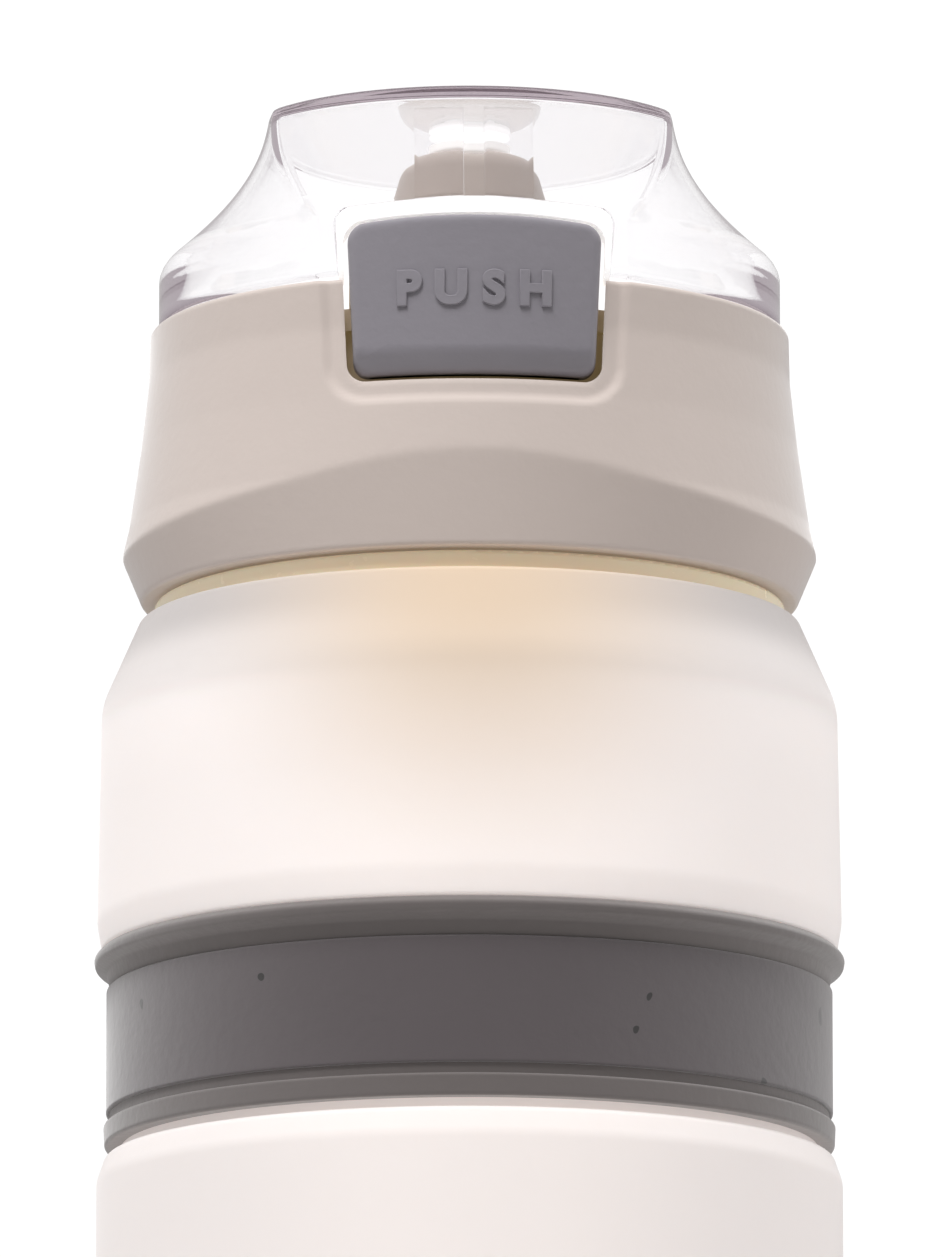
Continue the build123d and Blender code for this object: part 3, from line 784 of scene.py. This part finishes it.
def make_button():
    """Button: curved plate, rounded all round and bevelled at its foot, with raised letters and its latch."""
    face_r = BUTTON_R - 0.3       # the letters stand out to the CAD face
    back_r = BUTTON_R - 2.2
    bevel_height = 2.3
    bevel_slope = 0.42
    flat = 1.2                    # from the outline in to where the face is no longer rounded
    rings = [(0.0, 1.9), (0.0, 0.85), (0.04, 0.55), (0.14, 0.32), (0.3, 0.14), (0.5, 0.04), (0.8, 0.0),
             (flat, 0.0)]
    outline = button_line(0, steps=10, count=40)
    count = len(outline)
    normals = []
    for i in range(count):
        (x1, z1), (x2, z2) = outline[i - 1], outline[(i + 1) % count]
        length = hypot(x2 - x1, z2 - z1)
        normals.append((-(z2 - z1) / length, (x2 - x1) / length))
    mid_z = (BUTTON_BOTTOM + BUTTON_TOP) / 2
    verts = []

    def put(x, z, depth):
        """Adds a point at a depth under the face, and lower still on the bevel."""
        bevel = max(BUTTON_BOTTOM + bevel_height - z, 0)
        r = face_r - depth - bevel * bevel_slope * smooth_step(bevel / 0.8)
        verts.append((x, -sqrt(max(r * r - x * x, 1)), z))

    for inset, depth in rings:
        for (x, z), (nx, nz) in zip(outline, normals):
            put(x + nx * inset, z + nz * inset, depth)
    inner = [(x + nx * flat, z + nz * flat) for (x, z), (nx, nz) in zip(outline, normals)]
    shrink = [0.93, 0.85, 0.76, 0.66, 0.55, 0.43, 0.30, 0.16]
    for scale in shrink:
        for x, z in inner:
            put(x * scale, mid_z + (z - mid_z) * scale, 0)
    put(0, mid_z, 0)
    faces = []
    total = len(rings) + len(shrink)
    for j in range(total - 1):
        for i in range(count):
            k = (i + 1) % count
            faces.append((j * count + i, j * count + k, (j + 1) * count + k, (j + 1) * count + i))
    last = (total - 1) * count
    faces += [(last + i, last + (i + 1) % count, total * count) for i in range(count)]
    start = len(verts)
    for x, z in outline:
        verts.append((x, -sqrt(back_r ** 2 - x * x), z))
    faces += [((i + 1) % count, i, start + i, start + (i + 1) % count) for i in range(count)]
    for x, z in outline:
        verts.append((x * 0.5, -sqrt(back_r ** 2 - (x * 0.5) ** 2), mid_z + (z - mid_z) * 0.5))
    for i in range(count):
        k = (i + 1) % count
        faces.append((start + i, start + count + i, start + count + k, start + k))
    faces.append(tuple(start + count + i for i in range(count)))
    plate = new_object("plate", verts, faces, 40)
    parts = [plate, make_letters(face_r)] + make_latch()
    stands_for(joined("push_button_detailed", parts), "push_button", "button")


def make_latch():
    """Two arms back from the button's plate, the bar between them, and the nose that holds the cover's barb."""
    arm_x = 9.8
    half = 0.8                    # half an arm's width
    back = -22.8
    parts = [box_mesh("arm", side * arm_x - half, side * arm_x + half, -31.0, back, 184.2, 186.6, 0.25)
             for side in (-1, 1)]
    parts.append(box_mesh("bar", -arm_x - half, arm_x + half, back - 1.6, back, 185.6, 188.0, 0.3))
    parts.append(box_mesh("nose", -5.2, 5.2, back - 2.7, back - 1.2, 186.2, 187.4, 0.2))
    return parts


def make_letters(face_r):
    """The word push in plain raised capitals, bent round the button."""
    parts = []
    placed = {"P": -6.45, "U": -2.35, "S": 1.85, "H": 6.0}
    cap = 3.65                    # height of the capitals
    width_factor = 1.02
    base_z = 179.2
    relief = 0.28
    half_thick = 0.072            # half the curve's thickness: its extrusion and its bevel
    for letter, x in placed.items():
        curve = bpy.data.curves.new(letter, "FONT")
        curve.body = letter
        curve.align_x = "CENTER"
        curve.size = 1.0
        curve.offset = 0.04
        curve.extrude = 0.05
        curve.bevel_depth = 0.022
        curve.bevel_resolution = 2
        curve.resolution_u = 6
        obj = in_scene(letter, curve)
        graph = bpy.context.evaluated_depsgraph_get()
        graph.update()
        mesh = bpy.data.meshes.new_from_object(obj.evaluated_get(graph))
        bpy.data.objects.remove(obj)
        ys = [v.co.y for v in mesh.vertices]
        xs = [v.co.x for v in mesh.vertices]
        scale = cap / (max(ys) - min(ys))
        wide = width_factor * scale
        centre = (max(xs) + min(xs)) / 2
        for v in mesh.vertices:
            px = x + (v.co.x - centre) * wide
            pz = base_z + (v.co.y - min(ys)) * scale
            r = face_r + v.co.z / half_thick * relief
            angle = px / face_r
            v.co = (r * sin(angle) * MM, -r * cos(angle) * MM, pz * MM)
        parts.append(in_scene(letter, mesh))
    return joined("letters", parts)


def make_spout():
    """Hard spout with a flange, and the soft domed mouthpiece over it."""
    bore = 4.0
    stem = 5.2                    # radius below the flange
    tube = 6.4                    # radius above it
    flange = 9.0
    fit = tube + 0.02             # inside of the mouthpiece
    low_z = low("spout", 2)
    top = high("spout", 2)
    line = rounded([
        (bore, low_z, 0), (stem, low_z, 0.3), (stem, DECK_TOP + 0.6, 0), (flange, DECK_TOP + 0.6, 0.2),
        (flange, DECK_TOP + 2.0, 0.3), (tube, DECK_TOP + 2.4, 0.3), (tube, top, 0.5), (bore, top, 0.4),
    ])
    spout = stands_for(lathe("spout_detailed", line, 96), "spout", "lid")
    spout.data.materials[0] = MILKY
    foot = DECK_TOP + 2.6
    line = rounded([
        (fit, foot, 0), (MOUTH_R + 1.0, foot, 0.4), (MOUTH_R + 1.0, foot + 1.6, 0.5),
        (MOUTH_R, foot + 2.6, 0.8), (MOUTH_R, MOUTH_TOP - 5.0, 1.0), (MOUTH_R - 1.4, MOUTH_TOP, 6.5),
        (MOUTH_HOLE_R, MOUTH_TOP, 0.6), (MOUTH_HOLE_R, top + 0.1, 0.2), (fit, top + 0.1, 0),
    ], steps=8)
    stands_for(lathe("mouthpiece_detailed", line, 96), "mouthpiece", "lid")


def make_vent():
    """Air valve: a silicone mushroom through the deck, with its cap above and its barb below."""
    behind = 17.0                 # distance behind the bottle's axis
    barb = 2.2
    stem = 1.55
    cap = 3.8
    above = DECK_TOP + 0.05
    below = DECK_TOP - 2.25
    line = rounded([
        (0, below - 0.95, 0), (barb, below - 0.95, 0.3), (barb, below, 0), (stem, below, 0),
        (stem, above, 0), (cap, above, 0.1), (cap, above + 0.55, 0.25), (0, above + 1.45, 0),
    ])
    stands_for(lathe("air_valve_detailed", line, 64, centre=(0, behind)), "vent_valve", "lid")


# ---- flip cover ----

def cover_point(u, z, inset):
    """Point of the cover's side wall: u from -3 at the back, -1 at the left panel edge, to 3 at the back.

    The front panel is an arc, the sides are cubic curves that bend inwards towards the top, and the back is half
    an ellipse. The wall thins in the skirt, so inset is less there.
    """
    share = min(max((z - SKIRT_TOP) / (COVER_TOP - SKIRT_TOP), 0), 1)
    angle = radians(PANEL_FOOT_ANGLE + (PANEL_TOP_ANGLE - PANEL_FOOT_ANGLE) * share)
    inset *= 0.3 + 0.7 * smooth_step((z - SKIRT_BOTTOM) / (SKIRT_TOP - SKIRT_BOTTOM))
    front = SKIRT_R + (COVER_TOP_R - SKIRT_R) * share - inset
    half = COVER_TOP_HALF + (SKIRT_R - COVER_TOP_HALF) * (1 - share) ** 1.7 - inset
    side = 1 if u > 0 else -1
    v = abs(u)
    if v <= 1:
        x, y = front * sin(angle * v), -front * cos(angle * v)
    elif v <= 2:
        t = v - 1
        p0 = Vector((front * sin(angle), -front * cos(angle)))
        p1 = Vector((half, 0))
        chord = p1 - p0
        leave = angle + radians(9) + (radians(75) - angle) * share
        d0 = Vector((cos(leave), sin(leave)))
        d1 = Vector((0, 1))
        outward = Vector((chord.y, -chord.x)).normalized()
        bulge = front * (1 - cos((pi / 2 - angle) / 2)) * (1 - share) + 0.3 * share
        reach = (d0 - d1).dot(outward)
        size = min(8 * bulge / reach, 1.35 * chord.length) if reach > 0.01 else chord.length
        h00 = 2 * t ** 3 - 3 * t ** 2 + 1
        h10 = t ** 3 - 2 * t ** 2 + t
        h01 = -2 * t ** 3 + 3 * t ** 2
        h11 = t ** 3 - t ** 2
        p = p0 * h00 + d0 * (size * h10) + p1 * h01 + d1 * (size * h11)
        x, y = p.x, p.y
    else:
        a = (v - 2) * pi / 2
        x, y = half * cos(a), front * sin(a)
    return Vector((side * x, y, z))


def cover_surface(inset, bottom, top, top_round, steps):
    """Rows of points up the side wall, rounded at the knee and at both edges, then to the middle of the top."""
    knee = 0.9
    crease = 0.16                 # depth of the fine groove down each edge of the front panel
    heights = [bottom + (SKIRT_TOP - 1.2 - bottom) * k / 4 for k in range(1, 5)]
    heights += [SKIRT_TOP - 1.2 + 0.3 * k for k in range(1, 9)]
    start = heights[-1]
    end = top - top_round
    heights += [start + (end - start) * k / steps for k in range(1, steps + 1)]
    columns = [i / 14 for i in range(14)] + [0.982, 1, 1.018] + [1 + i / 16 for i in range(1, 16)]
    columns += [2 + i / 14 for i in range(15)]
    columns = [-c for c in reversed(columns[1:-1])] + columns
    rows = []
    for z in heights:
        samples = [z + knee * k / 3 for k in range(-3, 4)]
        samples = [min(s, top) for s in samples] if z < end - knee else [z]
        rows.append([sum((cover_point(u, s, inset) for s in samples), Vector()) / len(samples)
                     for u in columns])
        for u, p in zip(columns, rows[-1]):
            sunk = 1 - crease / SKIRT_R if inset == 0 and abs(u) == 1 and z > SKIRT_TOP else 1
            p.x, p.y, p.z = p.x * sunk, p.y * sunk, z
    base = rows[0]
    for k in range(1, 5):
        turn = k / 4 * pi / 2
        inward = top_round * (1 - cos(turn))
        z = end + top_round * sin(turn)
        rows.append([])
        for p in rows[len(heights) - 1]:
            flat = Vector((p.x, p.y)).normalized()
            rows[-1].append(Vector((p.x - flat.x * inward, p.y - flat.y * inward, z)))
    for j, (rise, inward) in enumerate(((0, 0.8), (0.15, 0.45), (0.42, 0.16), (0.85, 0.0))):
        scale = 1 - inward / SKIRT_R if inset == 0 else 1
        rows.insert(j, [Vector((p.x * scale, p.y * scale, bottom + rise)) for p in base])
    edge = rows[-1]
    for scale in (0.985, 0.8, 0.55, 0.3, 0.1):
        rows.append([Vector((p.x * scale, p.y * scale, edge[0].z)) for p in edge])
    return rows


def cover_solid(name, inset, bottom, top, top_round):
    """Closed solid inside a cover surface."""
    rows = cover_surface(inset, bottom, top, top_round, 22)
    count = len(rows[0])
    verts = [tuple(p) for row in rows for p in row]
    faces = []
    for j in range(len(rows) - 1):
        for i in range(count):
            k = (i + 1) % count
            faces.append((j * count + i, j * count + k, (j + 1) * count + k, (j + 1) * count + i))
    faces.append(tuple(range(count - 1, -1, -1)))
    faces.append(tuple(range(len(verts) - count, len(verts))))
    return new_object(name, verts, faces, 30)


def frame_outline(side, above):
    """Closed outline of the frame round the notch, thicker above the button than beside it."""
    half = BUTTON_TOP_HALF + side
    top = BUTTON_TOP + above
    return rounded([
        (-half + 0.4, SKIRT_BOTTOM + 0.02, 0), (half - 0.4, SKIRT_BOTTOM + 0.02, 0), (half, top - 0.7, 1.6),
        (0, top + 0.1, 40), (-half, top - 0.7, 1.6),
    ])


def make_cover():
    """Clear cover: shell with the notch in a frosted frame, two ribs, the latch tongue and the hinge arms."""
    wall = 1.25
    rib_x = (1.0, 5.8)
    notch = button_line(0.45)
    frame_line = frame_outline(1.15, 2.15)
    frame_back = -24.6
    outer = cover_solid("outer", 0, SKIRT_BOTTOM, COVER_TOP, 0.7)
    cover = cover_solid("flip_cover_detailed", 0, SKIRT_BOTTOM, COVER_TOP, 0.7)
    cover = combined(cover, cover_solid("hollow", wall, SKIRT_BOTTOM - 1, COVER_TOP - 1.5, 0.4), "DIFFERENCE")
    shell_gap = 0.03              # keeps the frame's faces off the clear shell's
    rib_top = COVER_TOP - 2.6
    for side in (-1, 1):
        rib = box_mesh("rib", *sorted(side * x for x in rib_x), -40, -5, BUTTON_TOP + 1.0, rib_top)
        rib = combined(rib, cover_solid("rib_front", wall - 0.4, SKIRT_BOTTOM, COVER_TOP, 0.7), "INTERSECT")
        rib = combined(rib, cover_solid("rib_back", wall + 1.3, SKIRT_BOTTOM - 1, COVER_TOP, 0.7), "DIFFERENCE")
        cover = combined(cover, bevelled(rib, 0.25), "UNION")
    around = prism("around", frame_outline(1.15 + shell_gap, 2.15 + shell_gap), -45, frame_back - shell_gap)
    cover = combined(cover, around, "DIFFERENCE")
    frame_part = combined(prism("cover_frame", frame_line, -40, frame_back), outer, "INTERSECT")
    frame_part = combined(frame_part, prism("notch", notch, -45, frame_back + 2.2), "DIFFERENCE")
    frame_part.name = "cover_frame"
    stands_for(frame_part, "flip_cover", "cover")
    frame_part.data.materials[0] = FROSTED_GLOWING
    tongue = box_mesh("tongue", -5, 5, -27.6, -26.2, LATCH_Z, BUTTON_TOP + 0.9, 0.15)
    barb = box_mesh("barb", -5, 5, -26.5, -25.0, LATCH_Z, LATCH_Z + 1.5, 0.15)
    arms = []
    for side in (-1, 1):
        line = [(HINGE_Y + KNUCKLE_R * sin(radians(a)), HINGE_Z + KNUCKLE_R * cos(radians(a)))
                for a in range(0, 251, 10)]
        line += [(SKIRT_R - 1.3, HINGE_Z - 0.9), (SKIRT_R - 1.3, HINGE_Z + KNUCKLE_R)]
        arms.append(extruded_x("cover_arm", line, *sorted(side * x for x in ARM_X), soften=0.25))
    cover = joined("flip_cover_detailed", [cover, tongue, barb] + arms)
    stands_for(cover, "flip_cover", "cover")
    cover.visible_shadow = False  # light passes the clear wall and falls on the lid undimmed
    cover.visible_diffuse = False


def make_cover_seal():
    """Silicone plug under the cover's top, whose tip closes the drinking hole."""
    tip = MOUTH_HOLE_R - 0.4
    plug = MOUTH_HOLE_R + 1.2
    clear_z = MOUTH_TOP + 0.3     # underside of the plug, clear of the mouthpiece
    top = high("cover_seal", 2)
    line = rounded([
        (0, MOUTH_TOP - 1.2, 0), (tip, MOUTH_TOP - 1.2, 0.5), (tip, clear_z, 0),
        (plug, clear_z, 0.3), (plug, top, 0), (0, top, 0),
    ])
    stands_for(lathe("cover_seal_detailed", line, 96), "cover_seal", "cover")


# ---- hinge pin and springs ----

def coil_mesh(name, path, wire, steps=10):
    """Round wire along a list of points."""
    verts = []
    for i, p in enumerate(path):
        ahead = path[min(i + 1, len(path) - 1)]
        behind = path[max(i - 1, 0)]
        along = (ahead - behind).normalized()
        side = along.cross(Vector((0, 0, 1)) if abs(along.z) < 0.9 else Vector((1, 0, 0))).normalized()
        up = side.cross(along)
        for k in range(steps):
            a = 2 * pi * k / steps
            verts.append(tuple(p + (side * cos(a) + up * sin(a)) * wire))
    faces = []
    for i in range(len(path) - 1):
        for k in range(steps):
            m = (k + 1) % steps
            faces.append((i * steps + k, i * steps + m, (i + 1) * steps + m, (i + 1) * steps + k))
    faces += [tuple(range(steps)), tuple(range(len(verts) - 1, len(verts) - 1 - steps, -1))]
    return new_object(name, verts, faces)


def make_hinge_spring():
    """Torsion spring round the hinge pin."""
    radius = 1.75
    turns = 6
    half = (high("hinge_spring", 0) - low("hinge_spring", 0)) / 2 - 0.35
    points = turns * 24
    path = []
    for i in range(points + 1):
        a = 2 * pi * turns * i / points
        x = -half + 2 * half * i / points
        path.append(Vector((x, HINGE_Y + radius * cos(a), HINGE_Z + radius * sin(a))))
    spring = stands_for(coil_mesh("hinge_spring_wire", path, 0.34), "hinge_spring")
    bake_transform(spring)


def make_button_spring():
    """Small coil behind the button."""
    radius = 1.25
    front = low("button_spring", 1)
    back = high("button_spring", 1)
    mid_z = (low("button_spring", 2) + high("button_spring", 2)) / 2
    wire = 0.22
    turns = 4
    points = turns * 20
    path = []
    for i in range(points + 1):
        a = 2 * pi * turns * i / points
        y = back - wire + (front - back + 2 * wire) * i / points
        path.append(Vector((radius * cos(a), y, mid_z + radius * sin(a))))
    spring = stands_for(coil_mesh("button_spring_wire", path, wire, 8), "button_spring")
    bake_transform(spring)


def make_pin():
    """Hinge pin with chamfered ends."""
    half = high("hinge_pin", 0)
    line = [(HINGE_Y + cos(2 * pi * k / 32), HINGE_Z + sin(2 * pi * k / 32)) for k in range(32)]
    stands_for(extruded_x("hinge_pin_detailed", line, -half, half, 0.2), "hinge_pin", "lid")


make_foot()
make_web()
make_base()
make_wall()
make_shoulder()
make_band()
make_collar()
make_button()
make_spout()
make_vent()
make_cover()
make_cover_seal()
make_hinge_spring()
make_button_spring()
make_pin()
